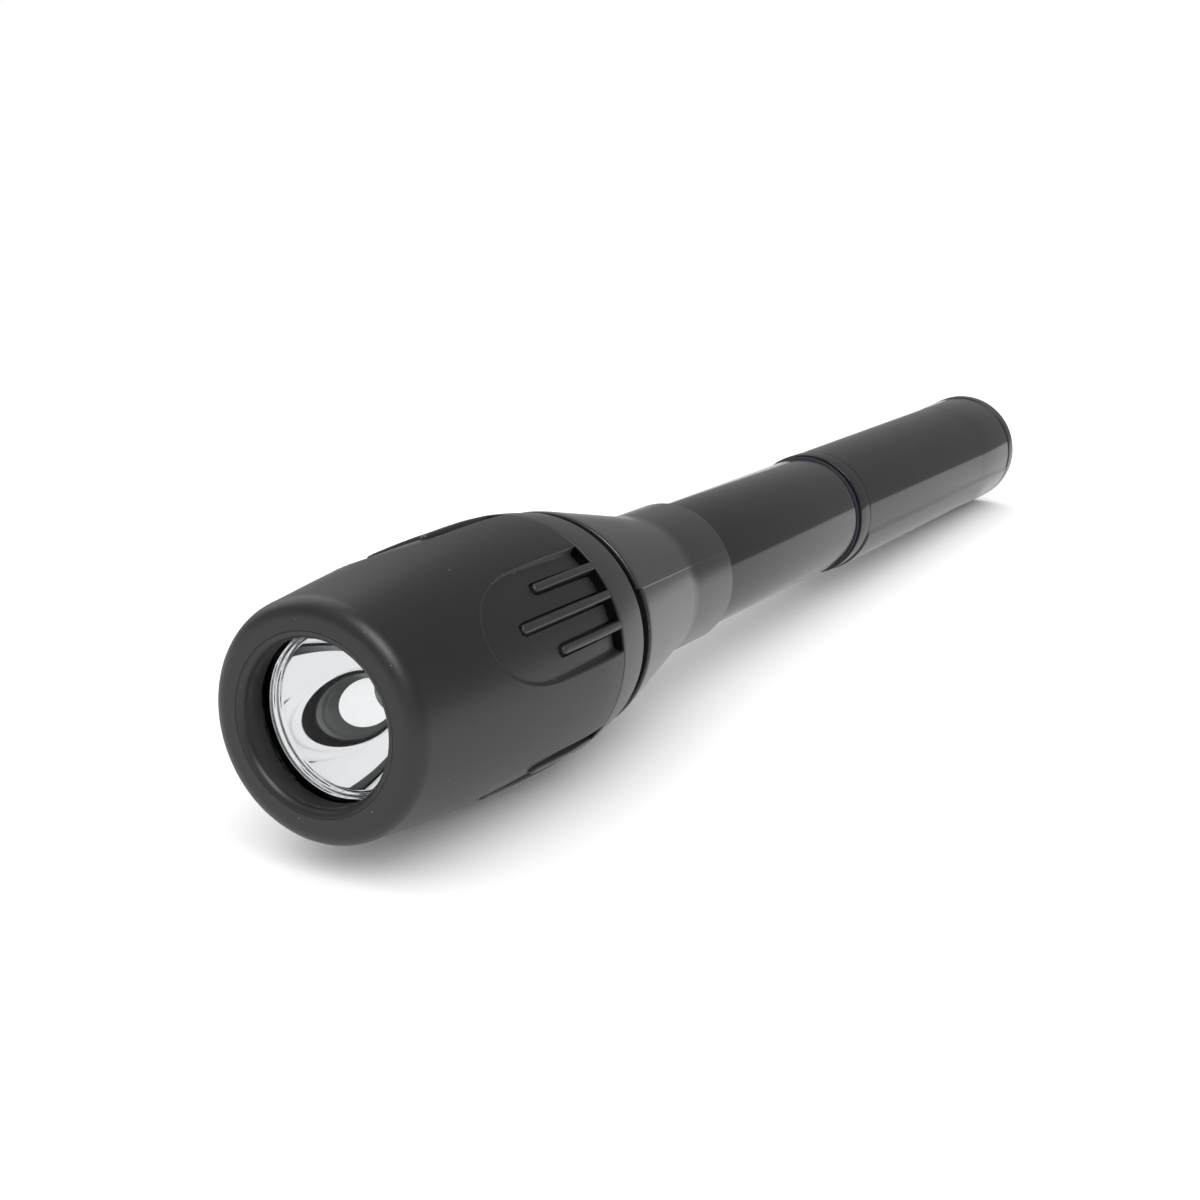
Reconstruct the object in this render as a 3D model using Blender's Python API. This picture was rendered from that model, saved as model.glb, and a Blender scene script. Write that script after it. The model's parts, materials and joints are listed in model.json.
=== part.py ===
"""LED flashlight for three AA cells in line: twist head, long screwed tail tube.

Every piece is turned about one axis. Stations are measured along that axis in millimetres,
from 0 at the front face of the head to TOTAL_LENGTH at the tail. Angles round the axis start
at the top and run towards +X. The flashlight lies on the ground plane with its head to -Y,
resting on the widest part of the head and on the rim of the tail.
"""
import math

import bmesh
import bpy
import numpy as np
from mathutils import Matrix, Vector

MM = 0.001

# Cells and the clearance kept between neighbouring solids
CELL_COUNT = 3
CELL_RADIUS = 7.1
CELL_LENGTH = 50.3
CELL_PITCH = 50.5
NUB_RADIUS = 2.7
NUB_HEIGHT = 1.4
FIRST_NUB = 47.1
CLEARANCE = 0.3

# Overall lengths and radii
TOTAL_LENGTH = 210.9
BARREL_RADIUS = 9.5
BORE_RADIUS = 7.6
TAIL_RADIUS = 9.9
TAIL_RIM_RADIUS = 10.2
FLARE_FRONT = 193.0

# Head outline: rises to HEAD_MAX at HEAD_WIDEST, then falls to the rear of the collar
FACE_EDGE_RADIUS = 1.4
HEAD_FRONT = 13.9
HEAD_MAX = 16.3
HEAD_WIDEST = 35.6
COLLAR_REAR_RADIUS = 15.0
COLLAR_FRONT = 41.3
COLLAR_REAR = 48.2

# Mouth of the head, lens and reflector
MOUTH_RADIUS = 9.9
MOUTH_EDGE = 0.6
LIP_RADIUS = 10.0
LIP_DEPTH = 3.75
SEAL_GROOVE_FRONT = 2.4
SEAL_GROOVE_BORE = 10.4
SEAL_GROOVE_RADIUS = 11.9
LENS_RADIUS = 11.6
LENS_FRONT = 4.05
LENS_THICKNESS = 1.0
RIM_FRONT = 5.35
RIM_RADIUS = 9.7
RIM_BAND = 1.0
RIM_FLANGE = 1.7
FOCAL_LENGTH = 3.05
BOWL_FLATTENING = 0.0155
WALL_BACK = 1.1
WALL_SIDE = 0.55
LED_HOLE = 2.95
SLEEVE_BORE = 13.5
SHELL_FRONT = 7.4
SHELL_RADIUS = 13.2
SHELL_BORE = 11.7
SHELL_FLANGE_RADIUS = 14.0
SEAL_WIRE = 0.9

# Grip scoops and the collar fingers that lie in them
SCOOP_ANGLES = (60.0, 150.0, 240.0, 330.0)
SCOOP_FRONT = 14.5
SCOOP_FULL_WIDTH = 26.0
SCOOP_FLOOR_END = 39.2
SCOOP_HALF_ANGLE = 26.0
SCOOP_NOSE_ANGLE = 3.0
SCOOP_SPREAD = 0.1
SCOOP_STEP = 0.12
SCOOP_DEPTH = 1.45
SCOOP_OVERCUT = 1.0
SCOOP_COLUMNS = 6
FINGER_ANGLES = (-14.5, 0.0, 14.5)
FINGER_NOSES = (27.5, 21.5, 27.5)
FINGER_WIDTH = 1.1
FINGER_SINK = 0.2
FINGER_DROP = 0.06
FINGER_ROOT = 0.9

# LED, its board and the sliding lamp carrier
DOME_CENTRE = 16.2
DOME_RADIUS = 2.5
LED_FOOT_FRONT = 20.6
LED_FOOT_REAR = 21.7
BOARD_FRONT = 22.0
BOARD_REAR = 23.6
BOARD_RADIUS = 7.0
CARRIER_FRONT = 23.9
CARRIER_WEB = (29.5, 32.0)
CARRIER_WAIST = 34.4
CARRIER_REAR = 41.0
CARRIER_RADIUS = 7.3
PIN_RADIUS = 1.3
PIN_TIP = 45.8

# Front housing: threaded spigot, cone and neck
SPIGOT_FRONT = 24.4
SPIGOT_SLIM = 9.7
SPIGOT_THREAD = 38.0
SPIGOT_RADIUS = 11.3
HEAD_SEAL_GROOVE = (45.0, 46.9, 10.15)
CONE_FRONT = 50.35
CONE_FRONT_RADIUS = 14.85
CONE_REAR = 72.2
CONE_BLEND = 14.0
NECK_RADIUS = 10.25
NECK_REAR = 83.9
BARREL_FRONT = 62.0
KEY_RADIUS = 8.3
KEYWAY_REAR = 36.0

# Current strips along the bores and their grooves
STRIP_WIDTH = 3.0
STRIP_RADII = (7.7, 7.95)
STRIP_GROOVE_WIDTH = 3.6
STRIP_GROOVE_RADII = (7.0, 8.25)
STRIP_FRONT = 33.5

# Screwed joint between barrel and tail tube
BARREL_SHOULDER = 131.5
TUBE_FRONT = 133.0
TUBE_LIP_REAR = 136.5
TAIL_SEAL_RADIUS = 9.3
TAIL_SEAL_WIRE = 0.8
THREAD_RADIUS = 8.95
THREAD_REAR = 145.0
TUBE_BORE_FRONT = 146.4
TUBE_REAR = 207.5
PLUG_FRONT = 207.8
PLUG_SPIGOT = 205.8
PLUG_RIM = 1.1
DISC_FRONT = 205.1
DISC_REAR = 205.5

# Facets round the head, round the other tubes, round small and hidden pieces
ROUND = 48
FINE = 36
SMALL = 20
TINY = 16


def head_radius(station):
    """Outer radius of the head: a quarter sine up to the widest station, then a parabola down."""
    if station < HEAD_WIDEST:
        rise = math.sin(0.5 * math.pi * station / HEAD_WIDEST)
        return HEAD_FRONT + (HEAD_MAX - HEAD_FRONT) * rise
    fall = ((station - HEAD_WIDEST) / (COLLAR_REAR - HEAD_WIDEST)) ** 2
    return HEAD_MAX - (HEAD_MAX - COLLAR_REAR_RADIUS) * fall


def scoop_floor(station):
    """Radius of the scoop floor, which sinks steadily from a small step at the front."""
    along = (station - SCOOP_FRONT) / (SCOOP_FLOOR_END - SCOOP_FRONT)
    return head_radius(station) - SCOOP_STEP - (SCOOP_DEPTH - SCOOP_STEP) * along


def scoop_half_angle(station):
    """Half the scoop's width: a half ellipse at the front, then nearly parallel sides."""
    if station >= SCOOP_FULL_WIDTH:
        return SCOOP_HALF_ANGLE + SCOOP_SPREAD * (station - SCOOP_FULL_WIDTH)
    back = (SCOOP_FULL_WIDTH - station) / (SCOOP_FULL_WIDTH - SCOOP_FRONT)
    return max(SCOOP_NOSE_ANGLE, SCOOP_HALF_ANGLE * math.sqrt(max(0.0, 1.0 - back * back)))


def bowl_depth(radius):
    """Distance from the bowl's vertex to a radius: a parabola, slightly flattened into an ellipse."""
    root = math.sqrt(1.0 - BOWL_FLATTENING * radius * radius / FOCAL_LENGTH)
    return (1.0 - root) / (2.0 * BOWL_FLATTENING)


def arc(centre_station, centre_radius, radius, start, end, steps):
    """Points of a circular arc in the station-radius plane, angles from the station axis."""
    turns = [math.radians(start + (end - start) * i / steps) for i in range(steps + 1)]
    return [(centre_station + radius * math.cos(t), centre_radius + radius * math.sin(t)) for t in turns]


def on_axis(station, radius, angle):
    """Point at a station, radius and angle from the top, in metres."""
    turn = math.radians(angle)
    return Vector((radius * math.sin(turn), station, radius * math.cos(turn))) * MM


def clear_scene():
    for item in list(bpy.data.objects):
        bpy.data.objects.remove(item, do_unlink=True)


def material(name, colour, roughness, metallic=0.0, transmission=0.0):
    made = bpy.data.materials.get(name)
    if made:
        return made
    made = bpy.data.materials.new(name)
    made.use_nodes = True
    shader = made.node_tree.nodes["Principled BSDF"]
    shader.inputs["Base Color"].default_value = (*colour, 1.0)
    shader.inputs["Roughness"].default_value = roughness
    shader.inputs["Metallic"].default_value = metallic
    shader.inputs["Transmission Weight"].default_value = transmission
    return made


def empty(name, station, parent=None):
    """Empty on the axis. Its property remembers the station, so its pieces can be placed by it."""
    holder = bpy.data.objects.new(name, None)
    bpy.context.collection.objects.link(holder)
    holder["station"] = station
    if parent:
        holder.parent = parent
        holder.location.y = (station - parent["station"]) * MM
    return holder


def add_object(name, data, parent, finish=None):
    made = bpy.data.objects.new(name, data)
    bpy.context.collection.objects.link(made)
    made.parent = parent
    made.location.y = -parent["station"] * MM
    if finish:
        data.materials.append(finish)
    return made


def mesh_from(bm, name, sharp=35.0):
    bmesh.ops.recalc_face_normals(bm, faces=bm.faces)
    mesh = bpy.data.meshes.new(name)
    bm.to_mesh(mesh)
    bm.free()
    mesh.shade_smooth()
    mesh.set_sharp_from_angle(angle=math.radians(sharp))
    return mesh


def turned(profile, segments):
    """Spin a closed station-radius outline round the axis, with a facet centred underneath."""
    bm = bmesh.new()
    start = 180.0 - 180.0 / segments
    ring = [bm.verts.new(on_axis(station, radius, start)) for station, radius in profile]
    edges = [bm.edges.new((a, b)) for a, b in zip(ring, ring[1:] + ring[:1])
             if a.co.xz.length > 1e-7 or b.co.xz.length > 1e-7]
    bmesh.ops.spin(bm, geom=edges, cent=(0, 0, 0), axis=(0, 1, 0), angle=2.0 * math.pi,
                   steps=segments, use_merge=True)
    bmesh.ops.remove_doubles(bm, verts=bm.verts, dist=1e-7)
    return bm


def turned_part(name, profile, parent, finish, segments=FINE):
    return add_object(name, mesh_from(turned(profile, segments), name), parent, finish)


def lofted(rows):
    """Closed solid through rows of equal loops, capped at both ends."""
    bm = bmesh.new()
    loops = [[bm.verts.new(point) for point in row] for row in rows]
    count = len(loops[0])
    for near, far in zip(loops, loops[1:]):
        for i in range(count):
            j = (i + 1) % count
            bm.faces.new((near[i], near[j], far[j], far[i]))
    bm.faces.new(reversed(loops[0]))
    bm.faces.new(loops[-1])
    return bm


def scoop_solid(centre):
    """Cutter of one scoop with sloping sides, and of the slot behind its floor: a loft of ring sectors."""
    above = HEAD_MAX + SCOOP_OVERCUT
    below = SLEEVE_BORE - SCOOP_OVERCUT
    nose_steps = 8
    swings = [0.5 * math.pi * step / nose_steps for step in range(nose_steps + 1)]
    nose_length = SCOOP_FULL_WIDTH - SCOOP_FRONT
    stations = [SCOOP_FRONT + nose_length * (1.0 - math.cos(swing)) for swing in swings]
    stations += [0.5 * (SCOOP_FULL_WIDTH + SCOOP_FLOOR_END), SCOOP_FLOOR_END]
    sections = [(station, scoop_floor(station)) for station in stations]
    sections += [(SCOOP_FLOOR_END + 0.02, below), (COLLAR_FRONT + SCOOP_OVERCUT, below)]
    rows = []
    for station, floor in sections:
        outside = head_radius(station)
        half = scoop_half_angle(station)
        foot = half - math.degrees(min(SCOOP_DEPTH, outside - floor) / outside)
        head = half + math.degrees((above - outside) / outside)
        turns = [foot * (2.0 * i / SCOOP_COLUMNS - 1.0) for i in range(SCOOP_COLUMNS + 1)]
        inner = [on_axis(station, floor, centre + turn) for turn in turns]
        outer = [on_axis(station, above, centre + head * turn / foot) for turn in reversed(turns)]
        rows.append(inner + outer)
    return lofted(rows)


def finger_solid(centre, nose, rear, width, bottom, top):
    """Straight bar along the axis with a round nose; bottom and top give its radii by station."""
    half = 0.5 * width
    round_steps = 3
    sections = []
    for step in range(round_steps + 1):
        swing = 0.5 * math.pi * step / round_steps
        sections.append((nose + half * (1.0 - math.sin(swing)), half * math.cos(swing)))
    tip = 0.15 * half
    sections = sorted((station, max(wide, tip)) for station, wide in sections)
    straight = np.linspace(sections[-1][0], rear, 4)[1:]
    sections += [(float(station), half) for station in straight]
    turn = Matrix.Rotation(math.radians(centre), 3, "Y")
    rows = []
    for station, wide in sections:
        low, high = bottom(station), top(station)
        corners = ((-wide, low), (wide, low), (wide, high), (-wide, high))
        rows.append([turn @ Vector((across, station, radius)) * MM for across, radius in corners])
    return lofted(rows)


def joined(solids):
    """One mesh data block that holds several separate bmesh solids."""
    whole = bmesh.new()
    for bm in solids:
        bmesh.ops.recalc_face_normals(bm, faces=bm.faces)
        part = bpy.data.meshes.new("solid")
        bm.to_mesh(part)
        bm.free()
        whole.from_mesh(part)
        bpy.data.meshes.remove(part)
    return whole


def box_solid(angle, across, stations, radii):
    """Box whose middle lies at an angle: width across, two stations and two radii."""
    turn = Matrix.Rotation(math.radians(angle), 3, "Y")
    half = 0.5 * across
    rows = []
    for station in stations:
        corners = ((-half, radii[0]), (half, radii[0]), (half, radii[1]), (-half, radii[1]))
        rows.append([turn @ Vector((x, station, radius)) * MM for x, radius in corners])
    return lofted(rows)


def cutter(name, bm, parent):
    tool = add_object(name, mesh_from(bm, name), parent)
    tool.hide_render = True
    tool.display_type = "WIRE"
    return tool


def combine(target, tool, operation):
    step = target.modifiers.new(tool.name, "BOOLEAN")
    step.operation = operation
    step.solver = "EXACT"
    step.object = tool


def all_fingers():
    for scoop in SCOOP_ANGLES:
        for offset, nose in zip(FINGER_ANGLES, FINGER_NOSES):
            yield scoop + offset, nose


def grip_sleeve(parent):
    """Soft sleeve over the whole head: moulded mouth, four scoops, twelve finger grooves."""
    edge_radius = head_radius(FACE_EDGE_RADIUS)
    edge = arc(FACE_EDGE_RADIUS, edge_radius - FACE_EDGE_RADIUS, FACE_EDGE_RADIUS, 180, 90, 3)
    rear = COLLAR_FRONT - CLEARANCE
    stations = [HEAD_WIDEST * step / 6.0 for step in range(1, 7)] + [rear]
    side = [(station, head_radius(station)) for station in stations]
    ledge = SHELL_FRONT - CLEARANCE
    inside = [(rear, SLEEVE_BORE), (ledge, SLEEVE_BORE), (ledge, SEAL_GROOVE_RADIUS),
              (SEAL_GROOVE_FRONT, SEAL_GROOVE_RADIUS), (SEAL_GROOVE_FRONT, SEAL_GROOVE_BORE),
              (LIP_DEPTH, SEAL_GROOVE_BORE), (LIP_DEPTH, LIP_RADIUS)]
    mouth = arc(MOUTH_EDGE, MOUTH_RADIUS + MOUTH_EDGE, MOUTH_EDGE, 270, 180, 3)
    profile = edge + side + inside + mouth
    sleeve = turned_part("grip_sleeve", profile, parent, soft_black(), ROUND)
    scoops = cutter("scoop_cutter", joined([scoop_solid(angle) for angle in SCOOP_ANGLES]), parent)
    combine(sleeve, scoops, "DIFFERENCE")
    groove_rear, groove_width = SCOOP_FLOOR_END + CLEARANCE, FINGER_WIDTH + 2.0 * CLEARANCE
    grooves = [finger_solid(angle, nose - CLEARANCE, groove_rear, groove_width,
                            lambda station: scoop_floor(station) - FINGER_SINK - CLEARANCE,
                            lambda station: HEAD_MAX + SCOOP_OVERCUT)
               for angle, nose in all_fingers()]
    combine(sleeve, cutter("groove_cutter", joined(grooves), parent), "DIFFERENCE")
    return sleeve


def collar_ring(parent):
    """Hard ring behind the sleeve, with twelve fingers that reach forward into the scoops."""
    bevel = 0.2
    stations = np.linspace(COLLAR_FRONT + bevel, COLLAR_REAR - bevel, 4)
    outer = [(float(station), head_radius(station)) for station in stations]
    profile = [(COLLAR_FRONT, head_radius(COLLAR_FRONT) - bevel)] + outer
    profile += [(COLLAR_REAR, COLLAR_REAR_RADIUS - bevel), (COLLAR_REAR, SLEEVE_BORE),
                (COLLAR_FRONT, SLEEVE_BORE)]
    ring = turned_part("collar_ring", profile, parent, satin_black(), ROUND)
    fingers = [finger_solid(angle, nose, COLLAR_FRONT + FINGER_ROOT, FINGER_WIDTH,
                            lambda station: scoop_floor(min(station, SCOOP_FLOOR_END)) - FINGER_SINK,
                            lambda station: head_radius(station) - FINGER_DROP)
               for angle, nose in all_fingers()]
    combine(ring, cutter("finger_bars", joined(fingers), parent), "UNION")
    return ring


def head_shell(parent):
    """Inner tube of the head: ledge behind the reflector, thin rear flange behind the collar."""
    flange, rear = COLLAR_REAR + 0.25, COLLAR_REAR + 0.85
    ledge_bore, ledge_rear = 10.7, SHELL_FRONT + 1.6
    profile = [(SHELL_FRONT, ledge_bore), (SHELL_FRONT, SHELL_RADIUS), (flange, SHELL_RADIUS),
               (flange, SHELL_FLANGE_RADIUS), (rear, SHELL_FLANGE_RADIUS), (rear, SHELL_BORE),
               (ledge_rear, SHELL_BORE), (ledge_rear, ledge_bore)]
    return turned_part("head_shell", profile, parent, satin_black(), FINE)


def lens(parent):
    rear, bevel = LENS_FRONT + LENS_THICKNESS, 0.2
    profile = [(LENS_FRONT, 0.0), (LENS_FRONT, LENS_RADIUS - bevel), (LENS_FRONT + bevel, LENS_RADIUS),
               (rear, LENS_RADIUS), (rear, 0.0)]
    return turned_part("lens", profile, parent, clear_plastic(), FINE)


def seal_ring(name, station, radius, thickness, parent):
    half = 0.5 * thickness
    profile = arc(station, radius, half, 0, 360, 6)[:-1]
    return turned_part(name, profile, parent, rubber(), SMALL)


def reflector(parent):
    """Bright band and bowl, a flange at the rim and a short neck round the LED."""
    vertex = RIM_FRONT + RIM_BAND + bowl_depth(RIM_RADIUS)
    neck_rear = vertex + 1.3
    front = [(vertex - bowl_depth(radius), float(radius)) for radius in np.linspace(RIM_RADIUS, LED_HOLE, 8)]
    back = [(vertex - bowl_depth(radius) + WALL_BACK, float(radius) + WALL_SIDE)
            for radius in np.linspace(LED_HOLE + WALL_SIDE, RIM_RADIUS - WALL_SIDE, 3)]
    neck = [(neck_rear, LED_HOLE), (neck_rear, back[0][1])]
    flange_rear = RIM_FRONT + RIM_FLANGE
    flange = [(flange_rear, RIM_RADIUS + WALL_SIDE), (flange_rear, LENS_RADIUS), (RIM_FRONT, LENS_RADIUS)]
    profile = [(RIM_FRONT, RIM_RADIUS)] + front + neck + back + flange
    return turned_part("reflector", profile, parent, mirror(), FINE)


def led_emitter(parent):
    """Round LED: dome, straight body and a small foot flange."""
    foot_radius = 2.85
    dome = arc(DOME_CENTRE, 0.0, DOME_RADIUS, 180, 90, 4)
    profile = dome + [(LED_FOOT_FRONT, DOME_RADIUS), (LED_FOOT_FRONT, foot_radius),
                      (LED_FOOT_REAR, foot_radius), (LED_FOOT_REAR, 0.0)]
    return turned_part("led_emitter", profile, parent, led_resin(), TINY)


def disc(name, front, rear, radius, parent, finish, segments=SMALL):
    profile = [(front, 0.0), (front, radius), (rear, radius), (rear, 0.0)]
    return turned_part(name, profile, parent, finish, segments)


def drive_resistor(parent):
    """Small chip on the rear of the board, beside the centre."""
    width, thickness, inner, outer = 1.6, 0.8, 2.2, 5.2
    front = BOARD_REAR + CLEARANCE
    bm = box_solid(90.0, width, (front, front + thickness), (inner, outer))
    return add_object("drive_resistor", mesh_from(bm, "drive_resistor"), parent, ceramic())


def lamp_carrier(parent):
    """Carrier of the board: two cups back to back, a waist for the ground band and one key."""
    front_bore, rear_bore, waist_radius = 5.9, 5.2, 6.5
    web_front, web_rear = CARRIER_WEB
    hole = PIN_RADIUS + CLEARANCE
    profile = [(CARRIER_FRONT, front_bore), (CARRIER_FRONT, CARRIER_RADIUS), (CARRIER_WAIST, CARRIER_RADIUS),
               (CARRIER_WAIST, waist_radius), (CARRIER_REAR, waist_radius), (CARRIER_REAR, rear_bore),
               (web_rear, rear_bore), (web_rear, hole), (web_front, hole), (web_front, front_bore)]
    carrier = turned_part("lamp_carrier", profile, parent, white_plastic(), SMALL)
    key_stations, key_width, key_foot = (25.5, 33.5), 2.0, 6.6
    key = cutter("key_bar", box_solid(180.0, key_width, key_stations, (key_foot, KEY_RADIUS)), parent)
    combine(carrier, key, "UNION")
    return carrier


def contact_pin(parent):
    """Turned brass contact through the carrier; its tip stands off the first cell when off."""
    front, collar_front, collar_rear = 27.5, CARRIER_WEB[1] + CLEARANCE, 33.4
    collar_radius, shaft_radius, bevel = 3.0, 1.5, 0.5
    profile = [(front, 0.0), (front, PIN_RADIUS), (collar_front, PIN_RADIUS), (collar_front, collar_radius),
               (collar_rear, collar_radius), (collar_rear, shaft_radius), (PIN_TIP - bevel, shaft_radius),
               (PIN_TIP, shaft_radius - bevel), (PIN_TIP, 0.0)]
    return turned_part("contact_pin", profile, parent, brass(), TINY)


def ground_band(parent):
    front, rear, bore, radius = CARRIER_WAIST + 0.4, CARRIER_REAR - 0.4, 6.8, 7.2
    profile = [(front, bore), (front, radius), (rear, radius), (rear, bore)]
    return turned_part("ground_band", profile, parent, nickel(), SMALL)


def strip_cutter(name, stations, parent):
    return cutter(name, box_solid(0.0, STRIP_GROOVE_WIDTH, stations, STRIP_GROOVE_RADII), parent)


def front_housing(parent):
    """Spigot that the head screws on, flared cone, and the neck round the front of the barrel."""
    bevel = 0.25
    seal_front, seal_rear, seal_floor = HEAD_SEAL_GROOVE
    spigot = [(SPIGOT_FRONT, BORE_RADIUS), (SPIGOT_FRONT, SPIGOT_SLIM), (SPIGOT_THREAD, SPIGOT_SLIM),
              (SPIGOT_THREAD, SPIGOT_RADIUS), (seal_front, SPIGOT_RADIUS), (seal_front, seal_floor),
              (seal_rear, seal_floor), (seal_rear, SPIGOT_RADIUS), (CONE_FRONT, SPIGOT_RADIUS),
              (CONE_FRONT, CONE_FRONT_RADIUS - bevel)]
    slope = math.atan2(CONE_FRONT_RADIUS - NECK_RADIUS, CONE_REAR - CONE_FRONT)
    tangent = CONE_BLEND * math.tan(0.5 * slope)
    cone = [(CONE_FRONT + bevel, CONE_FRONT_RADIUS)]
    cone += arc(CONE_REAR + tangent, NECK_RADIUS + CONE_BLEND, CONE_BLEND, 270 - math.degrees(slope), 270, 4)
    neck = [(NECK_REAR - 2 * bevel, NECK_RADIUS), (NECK_REAR, NECK_RADIUS - bevel)]
    socket = BARREL_RADIUS + CLEARANCE
    socket_floor = BARREL_FRONT - CLEARANCE
    ledge, ledge_front, ledge_bore = FIRST_NUB + NUB_HEIGHT - CLEARANCE, FIRST_NUB - 1.1, 4.0
    inside = [(NECK_REAR, socket), (socket_floor, socket), (socket_floor, BORE_RADIUS), (ledge, BORE_RADIUS),
              (ledge, ledge_bore), (ledge_front, ledge_bore), (ledge_front, BORE_RADIUS)]
    housing = turned_part("front_housing", spigot + cone + neck + inside, parent, satin_black(), FINE)
    groove = strip_cutter("housing_strip_groove", (STRIP_FRONT - 0.5, BARREL_FRONT + 1.0), parent)
    combine(housing, groove, "DIFFERENCE")
    keyway_width, keyway_foot, keyway_top = 2.6, 7.0, KEY_RADIUS + 0.45
    keyway = box_solid(180.0, keyway_width, (SPIGOT_FRONT - 1.0, KEYWAY_REAR), (keyway_foot, keyway_top))
    combine(housing, cutter("keyway_cutter", keyway, parent), "DIFFERENCE")
    return housing


def barrel_tube(parent):
    """Glossy barrel with a reduced rear end for the thread and a groove for the strip."""
    undercut, seal_seat, bevel = 8.55, BARREL_SHOULDER + 1.9, 0.15
    profile = [(BARREL_FRONT, BORE_RADIUS), (BARREL_FRONT, BARREL_RADIUS),
               (BARREL_SHOULDER - bevel, BARREL_RADIUS), (BARREL_SHOULDER, BARREL_RADIUS - bevel),
               (BARREL_SHOULDER, undercut), (seal_seat, undercut), (seal_seat, THREAD_RADIUS),
               (THREAD_REAR - bevel, THREAD_RADIUS), (THREAD_REAR, THREAD_RADIUS - bevel),
               (THREAD_REAR, BORE_RADIUS)]
    barrel = turned_part("barrel_tube", profile, parent, gloss_black(), FINE)
    groove = strip_cutter("barrel_strip_groove", (BARREL_FRONT - 1.0, THREAD_REAR + 1.0), parent)
    combine(barrel, groove, "DIFFERENCE")
    return barrel


def strip(name, stations, parent):
    """Flat metal strip that carries the current back along the bore."""
    bm = box_solid(0.0, STRIP_WIDTH, stations, STRIP_RADII)
    return add_object(name, mesh_from(bm, name), parent, brass())


def cell(index, parent):
    """One AA cell as its can and the raised cap of its positive end."""
    nub = FIRST_NUB + index * CELL_PITCH
    shoulder = nub + NUB_HEIGHT
    rear = nub + CELL_LENGTH
    edge, brim, brim_rear = 0.6, 3.3, shoulder + 0.7
    pocket, pocket_floor = brim + CLEARANCE, brim_rear + CLEARANCE
    can = [(shoulder, pocket), (shoulder, CELL_RADIUS - edge), (shoulder + edge, CELL_RADIUS),
           (rear - edge, CELL_RADIUS), (rear, CELL_RADIUS - edge), (rear, 0.0), (pocket_floor, 0.0),
           (pocket_floor, pocket)]
    turned_part(f"cell_{index + 1}_can", can, parent, cell_jacket(), SMALL)
    cap = [(nub, 0.0), (nub, NUB_RADIUS), (shoulder, NUB_RADIUS), (shoulder, brim),
           (brim_rear, brim), (brim_rear, 0.0)]
    turned_part(f"cell_{index + 1}_cap", cap, parent, nickel(), TINY)


def tail_spring(parent):
    """Conical coil spring, small end on the last cell, with a closed turn at its large end."""
    turns, per_turn, wire = 4.5, 10, 0.45
    small_end, large_end = 2.9, 6.1
    front = FIRST_NUB + (CELL_COUNT - 1) * CELL_PITCH + CELL_LENGTH + CLEARANCE + wire
    rear = DISC_FRONT - CLEARANCE - wire
    count = int(turns * per_turn)
    curve = bpy.data.curves.new("tail_spring", "CURVE")
    curve.dimensions = "3D"
    curve.bevel_depth = wire * MM
    curve.bevel_resolution = 1
    curve.use_fill_caps = True
    line = curve.splines.new("POLY")
    line.points.add(count)
    for i in range(count + 1):
        along = i / count
        station = front + (rear - front) * along
        radius = small_end + (large_end - small_end) * along
        line.points[i].co = (*on_axis(station, radius, 360.0 * turns * along), 1.0)
    return add_object("tail_spring", curve, parent, nickel())


def tail_tube(parent):
    """Long screwed tail: lip band at its mouth, fine groove, plain body, groove for its strip."""
    mouth = THREAD_RADIUS + 0.25
    edge, groove_depth, groove_side, groove_floor, body = 0.15, 0.2, 0.1, 0.35, TAIL_RADIUS - 0.05
    groove_front = TUBE_LIP_REAR + groove_side
    groove_rear = groove_front + groove_floor
    profile = [(TUBE_FRONT, mouth), (TUBE_FRONT, TAIL_RADIUS - edge), (TUBE_FRONT + edge, TAIL_RADIUS),
               (TUBE_LIP_REAR, TAIL_RADIUS), (groove_front, TAIL_RADIUS - groove_depth),
               (groove_rear, TAIL_RADIUS - groove_depth), (groove_rear + groove_side, body),
               (FLARE_FRONT, body), (TUBE_REAR, TAIL_RIM_RADIUS - 0.1), (TUBE_REAR, BORE_RADIUS),
               (TUBE_BORE_FRONT, BORE_RADIUS), (TUBE_BORE_FRONT, mouth)]
    tube = turned_part("tail_tube", profile, parent, gloss_black(), FINE)
    groove = strip_cutter("tail_strip_groove", (TUBE_BORE_FRONT - 1.0, TUBE_REAR + 1.0), parent)
    combine(tube, groove, "DIFFERENCE")
    return tube


def joint_washer(parent):
    """Metal washer between the barrel's end and the tube's inner shoulder."""
    front, rear, bore, radius = THREAD_REAR + 0.4, THREAD_REAR + 1.0, 7.8, 8.9
    profile = [(front, bore), (front, radius), (rear, radius), (rear, bore)]
    return turned_part("joint_washer", profile, parent, nickel(), SMALL)


def tail_plug(parent):
    """End plug: flange slightly proud of the tube with a rounded rim, spigot inside the tube."""
    spigot, bevel, recess_radius, recess = 7.2, 0.2, 6.6, 0.4
    profile = [(PLUG_SPIGOT, 0.0), (PLUG_SPIGOT, spigot), (PLUG_FRONT, spigot),
               (PLUG_FRONT, TAIL_RIM_RADIUS - bevel), (PLUG_FRONT + bevel, TAIL_RIM_RADIUS)]
    profile += arc(TOTAL_LENGTH - PLUG_RIM, TAIL_RIM_RADIUS - PLUG_RIM, PLUG_RIM, 90, 0, 3)
    profile += [(TOTAL_LENGTH, recess_radius + bevel), (TOTAL_LENGTH - recess, recess_radius),
                (TOTAL_LENGTH - recess, 0.0)]
    return turned_part("tail_plug", profile, parent, satin_black(), FINE)


def soft_black():
    return material("soft_black", (0.022, 0.022, 0.024), 0.62)


def satin_black():
    return material("satin_black", (0.028, 0.028, 0.03), 0.42)


def gloss_black():
    return material("gloss_black", (0.018, 0.018, 0.02), 0.22)


def rubber():
    return material("seal_rubber", (0.012, 0.012, 0.012), 0.7)


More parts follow.
